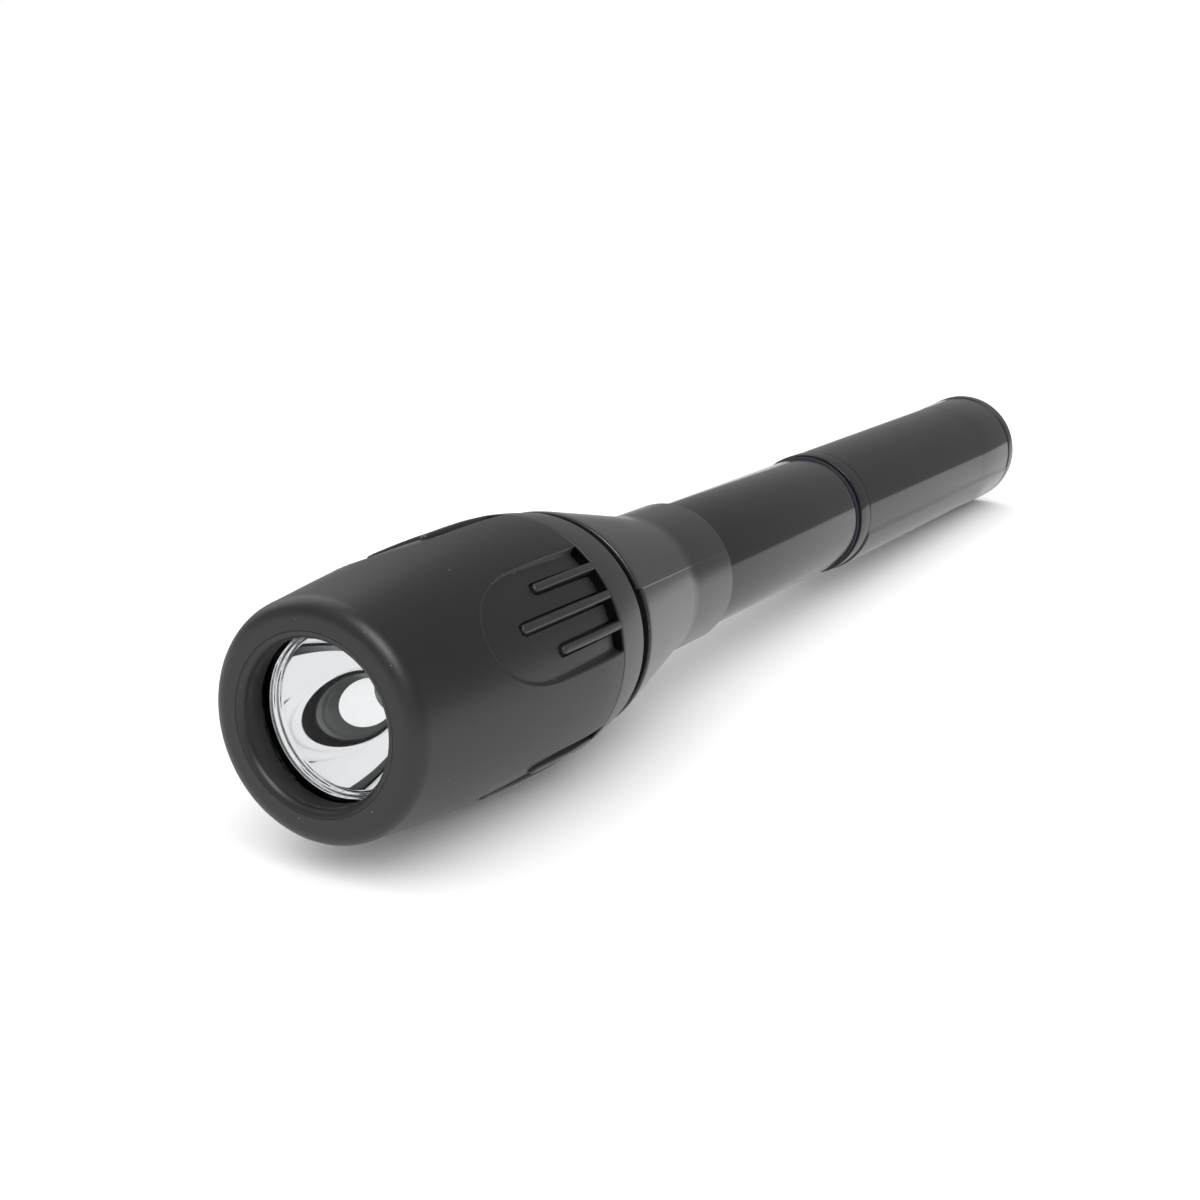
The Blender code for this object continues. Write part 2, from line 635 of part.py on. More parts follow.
def clear_plastic():
    return material("clear_plastic", (0.95, 0.97, 0.98), 0.03, transmission=0.95)


def mirror():
    return material("reflector_mirror", (0.86, 0.87, 0.88), 0.08, metallic=1.0)


def led_resin():
    return material("led_resin", (0.85, 0.86, 0.8), 0.1)


def board_laminate():
    return material("board_laminate", (0.05, 0.22, 0.09), 0.5)


def ceramic():
    return material("chip_ceramic", (0.08, 0.08, 0.09), 0.5)


def white_plastic():
    return material("carrier_plastic", (0.75, 0.75, 0.72), 0.5)


def brass():
    return material("contact_brass", (0.72, 0.56, 0.28), 0.3, metallic=1.0)


def nickel():
    return material("nickel_steel", (0.66, 0.65, 0.62), 0.3, metallic=1.0)


def cell_jacket():
    return material("cell_jacket", (0.2, 0.22, 0.25), 0.35)


def head_pieces(parent):
    grip_sleeve(parent)
    collar_ring(parent)
    head_shell(parent)
    seal_radius = 0.5 * (SEAL_GROOVE_BORE + SEAL_GROOVE_RADIUS)
    seal_ring("lens_seal", 0.5 * (SEAL_GROOVE_FRONT + LENS_FRONT), seal_radius, SEAL_WIRE, parent)
    lens(parent)
    reflector(parent)


def lamp_pieces(parent):
    led_emitter(parent)
    disc("led_board", BOARD_FRONT, BOARD_REAR, BOARD_RADIUS, parent, board_laminate())
    drive_resistor(parent)
    lamp_carrier(parent)
    contact_pin(parent)
    ground_band(parent)


def barrel_pieces(parent):
    front_housing(parent)
    seal_front, seal_rear, seal_floor = HEAD_SEAL_GROOVE
    seal_ring("head_seal", 0.5 * (seal_front + seal_rear), seal_floor + 0.85, SEAL_WIRE, parent)
    barrel_tube(parent)
    strip("barrel_strip", (STRIP_FRONT, THREAD_REAR - 0.2), parent)
    for index in range(CELL_COUNT):
        cell(index, parent)
    seal_ring("tail_seal", 0.5 * (BARREL_SHOULDER + TUBE_FRONT), TAIL_SEAL_RADIUS, TAIL_SEAL_WIRE, parent)


def tail_pieces(parent):
    tail_tube(parent)
    joint_washer(parent)
    strip("tail_strip", (TUBE_BORE_FRONT + 0.4, DISC_FRONT - 0.5), parent)
    disc("tail_contact", DISC_FRONT, DISC_REAR, 7.2, parent, nickel())
    tail_plug(parent)


def lay_down(torch):
    """Tilt the axis until head and tail rim touch one plane, then centre the flashlight over the origin."""
    run = TOTAL_LENGTH - PLUG_RIM - HEAD_WIDEST
    torch.rotation_euler.x = -math.atan2(HEAD_MAX - TAIL_RIM_RADIUS, run)
    bpy.context.view_layer.update()
    graph = bpy.context.evaluated_depsgraph_get()
    corners = []
    for item in bpy.data.objects:
        if item.type != "EMPTY" and not item.hide_render:
            solid = item.evaluated_get(graph)
            shape = solid.to_mesh()
            points = np.empty(3 * len(shape.vertices), dtype=np.float32)
            shape.vertices.foreach_get("co", points)
            world = np.array(solid.matrix_world)
            points = points.reshape(-1, 3) @ world[:3, :3].T + world[:3, 3]
            corners += [points.min(axis=0), points.max(axis=0)]
            solid.to_mesh_clear()
    low, high = np.min(corners, axis=0), np.max(corners, axis=0)
    torch.location = (0.0, -0.5 * float(low[1] + high[1]), -float(low[2]))
    bpy.context.view_layer.update()


def main():
    clear_scene()
    torch = empty("torch_axis", 0.0)
    lamp = empty("head_slide_axis", COLLAR_REAR, torch)
    head = empty("head_twist_axis", COLLAR_REAR, lamp)
    spring = empty("tail_slide_axis", TUBE_FRONT, torch)
    tail = empty("tail_screw_axis", TUBE_FRONT, spring)
    barrel_pieces(torch)
    lamp_pieces(lamp)
    head_pieces(head)
    tail_spring(spring)
    tail_pieces(tail)
    lay_down(torch)


main()
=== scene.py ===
import json
import math

import bmesh
import bpy
import numpy as np
from mathutils import Matrix, Vector


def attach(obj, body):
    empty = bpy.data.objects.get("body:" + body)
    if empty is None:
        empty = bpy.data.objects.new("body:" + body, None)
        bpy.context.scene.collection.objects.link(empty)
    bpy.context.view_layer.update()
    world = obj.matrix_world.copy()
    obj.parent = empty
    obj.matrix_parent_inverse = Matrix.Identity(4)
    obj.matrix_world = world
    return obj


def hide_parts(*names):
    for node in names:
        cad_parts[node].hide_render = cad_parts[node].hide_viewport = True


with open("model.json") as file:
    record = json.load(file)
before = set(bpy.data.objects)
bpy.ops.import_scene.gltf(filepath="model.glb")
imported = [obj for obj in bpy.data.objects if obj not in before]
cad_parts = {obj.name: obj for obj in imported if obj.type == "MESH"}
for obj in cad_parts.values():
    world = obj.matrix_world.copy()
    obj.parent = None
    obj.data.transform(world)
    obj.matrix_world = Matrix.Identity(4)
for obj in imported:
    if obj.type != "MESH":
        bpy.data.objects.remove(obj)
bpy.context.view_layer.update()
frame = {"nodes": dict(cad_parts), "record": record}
print("frame loaded")

mm = 0.001
mergeWithin, sliverWithin = 2e-7, 1e-8  # metres

# The flashlight's own axes, read from the frame: stations run along the axis from the head's front face,
# angles go round it from the top towards +X
twistJoint = next(joint for joint in frame["record"]["behaviour"]["joints"] if joint["name"] == "head_twist")
faceMount = next(mount for mount in frame["record"]["mounts"] if mount["name"] == "bezel_face")
axisPoint = np.array(twistJoint["pos_m"])
axisWay = np.array(twistJoint["axis"]) / np.linalg.norm(twistJoint["axis"])
faceOffset = float((np.array(faceMount["pos_m"]) - axisPoint) @ axisWay)
faceCentre = axisPoint + faceOffset * axisWay
sideWay = np.array((1.0, 0.0, 0.0))
upWay = np.cross(sideWay, axisWay)


# Cylinder coordinates to space: axis point plus radius times the turned up direction
def place(station, radius, angle):
    station, radius, angle = np.broadcast_arrays(station, radius, angle)
    turn = np.radians(angle)
    outward = np.sin(turn)[..., None] * sideWay + np.cos(turn)[..., None] * upWay
    return faceCentre + mm * (station[..., None] * axisWay + radius[..., None] * outward)


# Smooth step: 3t^2 - 2t^3 between two edges
def smoothStep(low, high, value):
    t = np.clip((value - low) / (high - low), 0.0, 1.0)
    return t * t * (3.0 - 2.0 * t)


# Grid of points to a closed mesh: columns run round in a ring, rows too if asked, repeated points are merged
def gridPiece(name, points, ringRows=False, sharp=32.0):
    rows, columns = points.shape[:2]
    rowIndex = np.arange(rows if ringRows else rows - 1)
    i, j = np.meshgrid(rowIndex, np.arange(columns), indexing="ij")
    iNext, jNext = (i + 1) % rows, (j + 1) % columns
    faces = np.stack([i * columns + j, i * columns + jNext, iNext * columns + jNext, iNext * columns + j], -1)
    faces = faces.reshape(-1, 4)
    flat = points.reshape(-1, 3)
    corner = flat[faces]
    volume = np.einsum("ij,ij->", corner[:, 0], np.cross(corner[:, 1], corner[:, 2]))
    volume += np.einsum("ij,ij->", corner[:, 0], np.cross(corner[:, 2], corner[:, 3]))
    if volume < 0.0:  # turned so that the faces point outwards
        faces = faces[:, ::-1]
    mesh = bpy.data.meshes.new(name)
    mesh.vertices.add(len(flat))
    mesh.vertices.foreach_set("co", flat.astype(np.float32).ravel())
    mesh.loops.add(faces.size)
    mesh.loops.foreach_set("vertex_index", faces.astype(np.int32).ravel())
    mesh.polygons.add(len(faces))
    mesh.polygons.foreach_set("loop_start", np.arange(0, faces.size, 4, dtype=np.int32))
    mesh.update(calc_edges=True)
    mesh.validate()
    bm = bmesh.new()
    bm.from_mesh(mesh)
    bmesh.ops.remove_doubles(bm, verts=bm.verts, dist=mergeWithin)
    bmesh.ops.dissolve_degenerate(bm, edges=bm.edges, dist=sliverWithin)
    bm.to_mesh(mesh)
    bm.free()
    return addPiece(name, mesh, sharp)


# Mesh to an object of the scene, smooth but for the edges that are sharper than the given angle
def addPiece(name, mesh, sharp):
    mesh.shade_smooth()
    mesh.set_sharp_from_angle(angle=math.radians(sharp))
    piece = bpy.data.objects.new(name, mesh)
    bpy.context.collection.objects.link(piece)
    return piece


# Outline with rounded corners: each corner (station, radius, fillet) becomes an arc tangent to both sides
def roundedOutline(corners, steps=5, ring=True):
    corners = [tuple(corner) + (0.0,) * (3 - len(corner)) for corner in corners]
    count = len(corners)
    outline = []
    for index, (station, radius, fillet) in enumerate(corners):
        here = np.array((station, radius))
        if fillet <= 0.0 or (not ring and index in (0, count - 1)):
            outline.append(here)
            continue
        back = np.array(corners[index - 1][:2]) - here
        ahead = np.array(corners[(index + 1) % count][:2]) - here
        back, ahead = back / np.linalg.norm(back), ahead / np.linalg.norm(ahead)
        half = 0.5 * math.acos(np.clip(back @ ahead, -1.0, 1.0))
        reach = fillet / math.tan(half)
        middle = (back + ahead) / np.linalg.norm(back + ahead)
        centre = here + middle * fillet / math.sin(half)
        start, end = here + back * reach - centre, here + ahead * reach - centre
        first, last = math.atan2(start[1], start[0]), math.atan2(end[1], end[0])
        swing = (last - first + math.pi) % (2.0 * math.pi) - math.pi
        turns = first + swing * np.linspace(0.0, 1.0, steps + 1)
        outline += [centre + fillet * np.array((math.cos(turn), math.sin(turn))) for turn in turns]
    return np.array(outline)


# Surface of revolution of a rounded outline
def turnedPiece(name, corners, segments=160, ring=True):
    outline = roundedOutline(corners, ring=ring)
    angles = np.linspace(0.0, 360.0, segments, endpoint=False)[None, :]
    return gridPiece(name, place(outline[:, :1], outline[:, 1:], angles), ringRows=ring)


# Even angles round the axis, with extra ones beside each seam
def seamedAngles(spacing, seams, beside):
    angles = np.concatenate([np.arange(0.0, 360.0, spacing)] + [seam + beside for seam in seams])
    return np.unique(np.round(angles, 2))[None, :]


# A piece's finish, its body, a slot that is not used, and the solids that it stands for
def carry(piece, finish, body, slot, *nodes):
    piece.data.materials.append(finish)
    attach(piece, body)
    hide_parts(*nodes)


# Materials

def newMaterial(name, values):
    made = bpy.data.materials.new(name)
    made.use_nodes = True
    tree = made.node_tree
    shader = tree.nodes["Principled BSDF"]
    for socket, value in values.items():
        shader.inputs[socket].default_value = value
    return made, tree, shader


def link(tree, source, target):
    tree.links.new(source, target)


def groupTree(name, inputs, outputs):
    tree = bpy.data.node_groups.new(name, "ShaderNodeTree")
    for label, value in inputs:
        tree.interface.new_socket(label, in_out="INPUT", socket_type="NodeSocketFloat").default_value = value
    for label in outputs:
        tree.interface.new_socket(label, in_out="OUTPUT", socket_type="NodeSocketFloat")
    return tree, tree.nodes.new("NodeGroupInput"), tree.nodes.new("NodeGroupOutput")


def addGroup(tree, group, values):
    node = tree.nodes.new("ShaderNodeGroup")
    node.node_tree = group
    for label, value in values.items():
        node.inputs[label].default_value = value
    return node


# Math node whose two values are each a number or another node's socket
def mathNode(tree, operation, first, second):
    node = tree.nodes.new("ShaderNodeMath")
    node.operation = operation
    for socket, value in zip(node.inputs, (first, second)):
        if isinstance(value, float):
            socket.default_value = value
        else:
            link(tree, value, socket)
    return node.outputs[0]


# Mix whose two sides are each a colour or another node's socket
def colourMix(tree, factor, low, high):
    mix = tree.nodes.new("ShaderNodeMix")
    mix.data_type = "RGBA"
    link(tree, factor, mix.inputs["Factor"])
    for label, side in (("A", low), ("B", high)):
        if isinstance(side, tuple):
            mix.inputs[label].default_value = (*side, 1.0)
        else:
            link(tree, side, mix.inputs[label])
    return mix.outputs["Result"]


# Moulded grain: fine noise for the bump height and slow noise for the change of gloss and colour
def grainGroup():
    tree, entry, leave = groupTree("mouldedGrain", (
        ("Fine Scale", 2600.0), ("Slow Scale", 60.0), ("Gloss Middle", 0.5), ("Gloss Swing", 0.05),
    ), ("Height", "Roughness", "Slow"))
    where = tree.nodes.new("ShaderNodeTexCoord")
    fine, slow = tree.nodes.new("ShaderNodeTexNoise"), tree.nodes.new("ShaderNodeTexNoise")
    for noise, label, detail in ((fine, "Fine Scale", 2.0), (slow, "Slow Scale", 4.0)):
        noise.inputs["Detail"].default_value = detail
        link(tree, where.outputs["Object"], noise.inputs["Vector"])
        link(tree, entry.outputs[label], noise.inputs["Scale"])
    centred = mathNode(tree, "SUBTRACT", slow.outputs["Fac"], 0.5)
    swing = mathNode(tree, "MULTIPLY", centred, entry.outputs["Gloss Swing"])
    gloss = mathNode(tree, "ADD", swing, entry.outputs["Gloss Middle"])
    link(tree, fine.outputs["Fac"], leave.inputs["Height"])
    link(tree, gloss, leave.inputs["Roughness"])
    link(tree, slow.outputs["Fac"], leave.inputs["Slow"])
    return tree


# Dust: sparse specks where a Voronoi cell's centre is near and its random value is low
def dustGroup():
    tree, entry, leave = groupTree("dustSpecks", (("Scale", 260.0), ("Share", 0.06), ("Size", 0.09)), ("Mask",))
    where = tree.nodes.new("ShaderNodeTexCoord")
    cells = tree.nodes.new("ShaderNodeTexVoronoi")
    link(tree, where.outputs["Object"], cells.inputs["Vector"])
    link(tree, entry.outputs["Scale"], cells.inputs["Scale"])
    apart = tree.nodes.new("ShaderNodeSeparateColor")
    link(tree, cells.outputs["Color"], apart.inputs["Color"])
    chosen = mathNode(tree, "LESS_THAN", apart.outputs["Red"], entry.outputs["Share"])
    size = mathNode(tree, "MULTIPLY", entry.outputs["Size"], apart.outputs["Green"])
    near = mathNode(tree, "LESS_THAN", cells.outputs["Distance"], size)
    link(tree, mathNode(tree, "MULTIPLY", chosen, near), leave.inputs["Mask"])
    return tree


grain = grainGroup()
dust = dustGroup()


# Roughness and bump from the grain; gives the colour, which the slow noise swings from dark to light
def addSkin(tree, shader, look):
    skin = addGroup(tree, grain, {"Fine Scale": look["grainScale"], "Slow Scale": look["slowScale"],
                                  "Gloss Middle": look["roughness"], "Gloss Swing": look["swing"]})
    link(tree, skin.outputs["Roughness"], shader.inputs["Roughness"])
    bump = tree.nodes.new("ShaderNodeBump")
    bump.inputs["Strength"].default_value = look["bump"]
    bump.inputs["Distance"].default_value = look["bumpDepth"]
    link(tree, skin.outputs["Height"], bump.inputs["Height"])
    link(tree, bump.outputs["Normal"], shader.inputs["Normal"])
    return colourMix(tree, skin.outputs["Slow"], look["dark"], look["light"])


# A plastic or rubber, with a coat and dust where its look has them
def mouldedMaterial(name, look):
    made, tree, shader = newMaterial(name, {"IOR": look.get("ior", 1.5), "Coat Weight": look.get("coat", 0.0),
                                            "Coat Roughness": look.get("coatRoughness", 0.05)})
    colour = addSkin(tree, shader, look)
    if "dustShare" in look:
        specks = addGroup(tree, dust, {"Scale": look["dustScale"], "Share": look["dustShare"],
                                       "Size": look["dustSize"]})
        colour = colourMix(tree, specks.outputs["Mask"], colour, look["dustColour"])
    link(tree, colour, shader.inputs["Base Color"])
    return made


def metalMaterial(name, look):
    made, tree, shader = newMaterial(name, {"Metallic": 1.0})
    link(tree, addSkin(tree, shader, look), shader.inputs["Base Color"])
    return made


softTouch = mouldedMaterial("soft_touch_black", {
    "dark": (0.012, 0.012, 0.013), "light": (0.019, 0.019, 0.020), "roughness": 0.40, "swing": 0.08, "ior": 1.6,
    "grainScale": 5200.0, "slowScale": 70.0, "bump": 0.25, "bumpDepth": 0.00002,
    "dustShare": 0.22, "dustScale": 900.0, "dustSize": 0.10, "dustColour": (0.16, 0.16, 0.165),
})
collarPlastic = mouldedMaterial("satin_collar_black", {
    "dark": (0.022, 0.022, 0.024), "light": (0.030, 0.030, 0.032), "roughness": 0.38, "swing": 0.08,
    "ior": 1.55, "coat": 0.35, "coatRoughness": 0.3,
    "grainScale": 6500.0, "slowScale": 90.0, "bump": 0.12, "bumpDepth": 0.00001,
    "dustShare": 0.12, "dustScale": 900.0, "dustSize": 0.10, "dustColour": (0.25, 0.25, 0.26),
})
housingPlastic = mouldedMaterial("semi_gloss_housing_black", {
    "dark": (0.016, 0.016, 0.018), "light": (0.023, 0.023, 0.025), "roughness": 0.34, "swing": 0.06,
    "ior": 1.5, "coat": 0.7, "coatRoughness": 0.24,
    "grainScale": 7000.0, "slowScale": 110.0, "bump": 0.05, "bumpDepth": 0.00001,
    "dustShare": 0.08, "dustScale": 900.0, "dustSize": 0.09, "dustColour": (0.22, 0.22, 0.23),
})
glossPlastic = mouldedMaterial("gloss_tube_black", {
    "dark": (0.016, 0.016, 0.017), "light": (0.022, 0.022, 0.023), "roughness": 0.11, "swing": 0.04,
    "grainScale": 9000.0, "slowScale": 150.0, "bump": 0.01, "bumpDepth": 0.00001,
})
# Painted shade: the seal rubber's colour is lifted and tinted blue to stand in for the blue-black shade in the
# narrow gaps where the seals sit
sealRubberBlueShade = mouldedMaterial("seal_rubber_painted_blue_shade", {
    "dark": (0.014, 0.015, 0.036), "light": (0.022, 0.023, 0.050), "roughness": 0.65, "swing": 0.1,
    "grainScale": 4000.0, "slowScale": 200.0, "bump": 0.2, "bumpDepth": 0.00002,
})
clearPlastic = newMaterial("clear_lens_plastic", {
    "Base Color": (0.985, 0.99, 0.99, 1.0), "Roughness": 0.0, "Transmission Weight": 1.0, "IOR": 1.2})[0]
mirrorFinish = newMaterial("mirror_metallised", {
    "Base Color": (0.90, 0.905, 0.915, 1.0), "Metallic": 1.0, "Roughness": 0.02})[0]
ledResin = newMaterial("led_clear_resin", {
    "Base Color": (0.82, 0.83, 0.82, 1.0), "Roughness": 0.06, "IOR": 1.5, "Coat Weight": 0.5})[0]
print("outside materials made")

# Grip sleeve: all lengths in millimetres, angles in degrees; rows are (first, last, spacing) along the axis

sleeve = {
    "faceEdge": 2.2, "faceFlare": 0.14, "faceRear": 3.0, "headFront": 13.9, "headMax": 16.3, "headWidest": 35.6,
    "collarRear": 48.2, "collarRearRadius": 15.0, "rear": 41.0, "rearStep": 0.12, "bore": 13.5,
    "mouthRadius": 9.45, "mouthEdge": 1.05, "lipFront": 2.4, "lipDepth": 3.75, "lipRadius": 9.85,
    "lipPocket": 10.4, "lipFillet": 0.12, "seatRadius": 11.9, "seatRear": 7.1, "faceMiddle": 12.0,
    "scoops": (60.0, 150.0, 240.0, 330.0), "scoopFront": 14.5, "scoopFull": 26.0, "floorEnd": 40.3,
    "scoopReach": 44.0, "halfAngle": 26.0, "step": 0.13, "depth": 1.05,
    "slotFloor": 13.7, "slotFront": 0.03, "slotSide": 0.12,
    "wall": 0.12, "wallGrowth": 0.6, "wallCurve": 2.2, "wallTop": (-0.2, 0.1), "crispness": 0.12,
    "ridge": 0.05, "ridgeWidth": 0.16, "ridgeFade": (24.0, 29.0),
    "fingerAngles": (-14.5, 0.0, 14.5), "fingerNoses": (27.5, 21.5, 27.5), "fingerWidth": 1.1,
    "moat": 0.27, "moatDepth": 0.42, "moatSlope": 0.07,
    "rows": ((2.0, 13.5, 0.8), (13.5, 28.6, 0.24), (28.6, 38.6, 0.5)),
    "slotRows": (-0.3, -0.15, -0.04, 0.0, 0.04, 0.2, 0.8), "lastRows": (39.3, 40.88),
}


# Quarter sine up to the widest station, then a parabola down to the rear of the collar
def headRadius(station):
    s = np.asarray(station, dtype=float)
    rise = np.sin(0.5 * np.pi * np.clip(s / sleeve["headWidest"], 0.0, 1.0))
    front = sleeve["headFront"] + (sleeve["headMax"] - sleeve["headFront"]) * rise
    back = np.clip((s - sleeve["headWidest"]) / (sleeve["collarRear"] - sleeve["headWidest"]), 0.0, None)
    return front - (sleeve["headMax"] - sleeve["collarRearRadius"]) * back ** 2


# Distance inside the scoop's outline, in millimetres: a half ellipse in front, straight sides behind
def insideScoop(station, across):
    halfWidth = math.radians(sleeve["halfAngle"]) * sleeve["headMax"]
    length = sleeve["scoopFull"] - sleeve["scoopFront"]
    ahead = np.clip((sleeve["scoopFull"] - station) / length, 0.0, None)
    side = across / halfWidth
    reach = np.sqrt(ahead ** 2 + side ** 2) + 1e-9
    slope = np.sqrt((ahead / length) ** 2 + (side / halfWidth) ** 2) / reach + 1e-9
    return np.where(station < sleeve["scoopFull"], (1.0 - reach) / slope, halfWidth - np.abs(across))


# Depth of the scoop's floor, growing steadily towards the rear
def floorDepth(station):
    along = np.clip((station - sleeve["scoopFront"]) / (sleeve["floorEnd"] - sleeve["scoopFront"]), 0.0, 1.0)
    return sleeve["step"] + (sleeve["depth"] - sleeve["step"]) * along


# How far the skin lies below the plain head outline: the floor times a rounded wall, less a thin raised rim,
# plus a moat round each finger, and down to the slot's floor behind the scoop
def skinDepth(station, angle):
    total = np.zeros(np.broadcast(station, angle).shape)
    for centre in sleeve["scoops"]:
        apart = (angle - centre + 180.0) % 360.0 - 180.0
        inside = insideScoop(station, np.radians(apart) * sleeve["headMax"])
        floor = floorDepth(station)
        wall = sleeve["wall"] + sleeve["wallGrowth"] * floor
        eased = np.clip(0.5 * (inside + np.hypot(inside, sleeve["crispness"])) / wall, 0.0, 1.0)
        sunk = floor * (1.0 - (1.0 - eased) ** sleeve["wallCurve"]) * smoothStep(*sleeve["wallTop"], inside)
        fade = 1.0 - smoothStep(*sleeve["ridgeFade"], station)
        sunk = sunk - sleeve["ridge"] * fade * np.exp(-(inside / sleeve["ridgeWidth"]) ** 2)
        for offset, nose in zip(sleeve["fingerAngles"], sleeve["fingerNoses"]):
            half = 0.5 * sleeve["fingerWidth"]
            beside = np.radians(apart - offset) * sleeve["headMax"]
            before = np.clip(nose + half - station, 0.0, None)
            gap = np.hypot(beside, before) - half - sleeve["moat"]
            sunk = sunk + sleeve["moatDepth"] * smoothStep(sleeve["moatSlope"], -sleeve["moatSlope"], gap)
        slot = smoothStep(-sleeve["slotFront"], sleeve["slotFront"], station - sleeve["floorEnd"])
        slot = slot * smoothStep(0.0, sleeve["slotSide"], inside)
        deep = headRadius(station) - sleeve["slotFloor"]
        sunk = sunk * (1.0 - slot) + deep * slot
        total = np.where(np.abs(apart) < sleeve["scoopReach"], sunk, total)
    return total


# Angles round the sleeve: fine inside the scoops, finest at the fingers' edges
def sleeveAngles():
    angles = [np.arange(0.0, 360.0, 2.0)]
    half = math.degrees((0.5 * sleeve["fingerWidth"] + sleeve["moat"]) / sleeve["headMax"])
    for centre in sleeve["scoops"]:
        angles.append(centre + np.arange(-29.0, 29.01, 0.6))
        for offset in sleeve["fingerAngles"]:
            for edge in (-half, half):
                angles.append(centre + offset + edge + np.array((-0.3, -0.1, 0.1, 0.3)))
    merged = np.unique(np.round(np.concatenate(angles) % 360.0, 2))
    return merged[np.concatenate(([True], np.diff(merged) > 0.09))]


# Stations along the sleeve: fine over the scoops' fronts, finest where the slots begin
def sleeveStations():
    rows = [np.arange(*row) for row in sleeve["rows"]]
    rows += [sleeve["floorEnd"] + np.array(sleeve["slotRows"]), np.array(sleeve["lastRows"])]
    merged = np.unique(np.round(np.concatenate(rows), 3))
    return merged[np.concatenate(([True], np.diff(merged) > 0.03))]


# The sleeve's section, carried round the axis: rounded face, outer skin, rear edge, bore and rounded mouth
def makeSleeve():
    angles = sleeveAngles()[None, :]
    rear, bore, lipDepth = sleeve["rear"], sleeve["bore"], sleeve["lipDepth"]
    front = roundedOutline([
        (0.0, sleeve["mouthRadius"] + sleeve["mouthEdge"]),
        (0.0, sleeve["headFront"] + sleeve["faceFlare"], sleeve["faceEdge"]),
        (sleeve["faceRear"], float(headRadius(sleeve["faceRear"])) - 0.02)], 9, ring=False)[:-1]
    inner = roundedOutline([
        (rear, float(headRadius(rear))), (rear, bore), (sleeve["seatRear"], bore),
        (sleeve["seatRear"], sleeve["seatRadius"]), (sleeve["lipFront"], sleeve["seatRadius"]),
        (sleeve["lipFront"], sleeve["lipPocket"]), (lipDepth, sleeve["lipPocket"]),
        (lipDepth, sleeve["lipRadius"], sleeve["lipFillet"]),
        (0.0, sleeve["mouthRadius"], sleeve["mouthEdge"]), (0.0, sleeve["faceMiddle"])], 8, ring=False)[1:-1]
    station = sleeveStations()[:, None]
    radius = headRadius(station) - skinDepth(station, angles)
    rearRadius = np.maximum(radius[-1:] - sleeve["rearStep"], bore + 0.02)
    blocks = [place(front[:, :1], front[:, 1:], angles), place(station, radius, angles),
              place(np.array([[rear]]), rearRadius, angles), place(inner[:, :1], inner[:, 1:], angles)]
    return gridPiece("grip_sleeve_skin", np.concatenate(blocks), ringRows=True, sharp=50.0)


carry(makeSleeve(), softTouch, "head", "soft_black", "grip_sleeve")
print("sleeve made")

# Collar ring with its fingers

collar = {
    "front": 41.3, "rear": 48.2, "bore": 13.5, "fillet": 0.22, "undercut": 1.3, "undercutFillet": 0.2,
    "edge": 0.35, "edgeDrop": 0.6, "edgeFillets": (0.05, 0.15), "bandInset": 0.6,
    "fingerRows": 14, "fingerFrom": 1.2, "fingerEnd": 0.8, "fingerSink": 0.3, "fingerBelow": 0.06,
    "fingerRise": 0.04, "riseRows": (39.0, 41.0), "noseCurve": 0.8, "noseStart": 0.45, "noseFoot": 0.12,
    "crownDrop": 0.384, "crownFoot": 0.05, "crownCurve": 0.8, "sideCurve": 0.55,
}


# One finger: a bar along the axis whose section is a rounded box and whose nose closes as a quarter circle
def fingerPoints(centre, nose):
    half, rows, foot = 0.5 * sleeve["fingerWidth"], collar["fingerRows"], collar["noseFoot"]
    swing = np.linspace(0.0, 0.5 * np.pi, 9)
    straight = np.linspace(nose + collar["fingerFrom"], collar["front"] + collar["fingerEnd"], rows)
    stations = np.concatenate((nose + half * (1.0 - np.cos(swing)), straight))
    width = np.concatenate((half * np.sin(swing), np.full(rows, half)))
    rise = np.concatenate((np.sin(swing) ** collar["noseCurve"], np.ones(rows)))
    bottom = headRadius(np.minimum(stations, sleeve["floorEnd"])) - floorDepth(stations) - collar["fingerSink"]
    lifted = collar["fingerRise"] * smoothStep(*collar["riseRows"], stations)
    top = headRadius(stations) - collar["fingerBelow"] + lifted
    noseRise = collar["noseStart"] + (1.0 - collar["noseStart"]) * rise
    nosed = bottom + foot + (top - bottom - foot) * np.where(stations < nose + half, noseRise, 1.0)
    turn = np.linspace(0.0, np.pi, 15)
    across = np.sign(np.cos(turn)) * np.abs(np.cos(turn)) ** collar["sideCurve"]
    lift = np.abs(np.sin(turn)) ** collar["crownCurve"]
    x = np.concatenate(([1.0], across, [-1.0]))
    z = np.concatenate(([0.0], lift, [0.0]))
    shoulder = np.clip(nosed - collar["crownDrop"], bottom + collar["crownFoot"], None)
    crown = shoulder[:, None] + (nosed - shoulder)[:, None] * z[None, :]
    radius = np.where(z[None, :] > 0.0, crown, bottom[:, None])
    sideways = width[:, None] * x[None, :]
    angle = centre + np.degrees(np.arctan2(sideways, radius))
    return place(stations[:, None], np.hypot(radius, sideways), angle)


# A bar's two ends closed by drawing each end's points together in their middle
def closeEnds(points):
    first = np.repeat(points[:1].mean(axis=1, keepdims=True), points.shape[1], axis=1)
    last = np.repeat(points[-1:].mean(axis=1, keepdims=True), points.shape[1], axis=1)
    return np.concatenate((first, points, last))


# Several pieces joined as one
def joinPieces(name, pieces):
    bm = bmesh.new()
    for piece in pieces:
        bm.from_mesh(piece.data)
    mesh = bpy.data.meshes.new(name)
    bm.to_mesh(mesh)
    bm.free()
    for piece in pieces:
        old = piece.data
        bpy.data.objects.remove(piece, do_unlink=True)
        bpy.data.meshes.remove(old)
    return addPiece(name, mesh, 50.0)


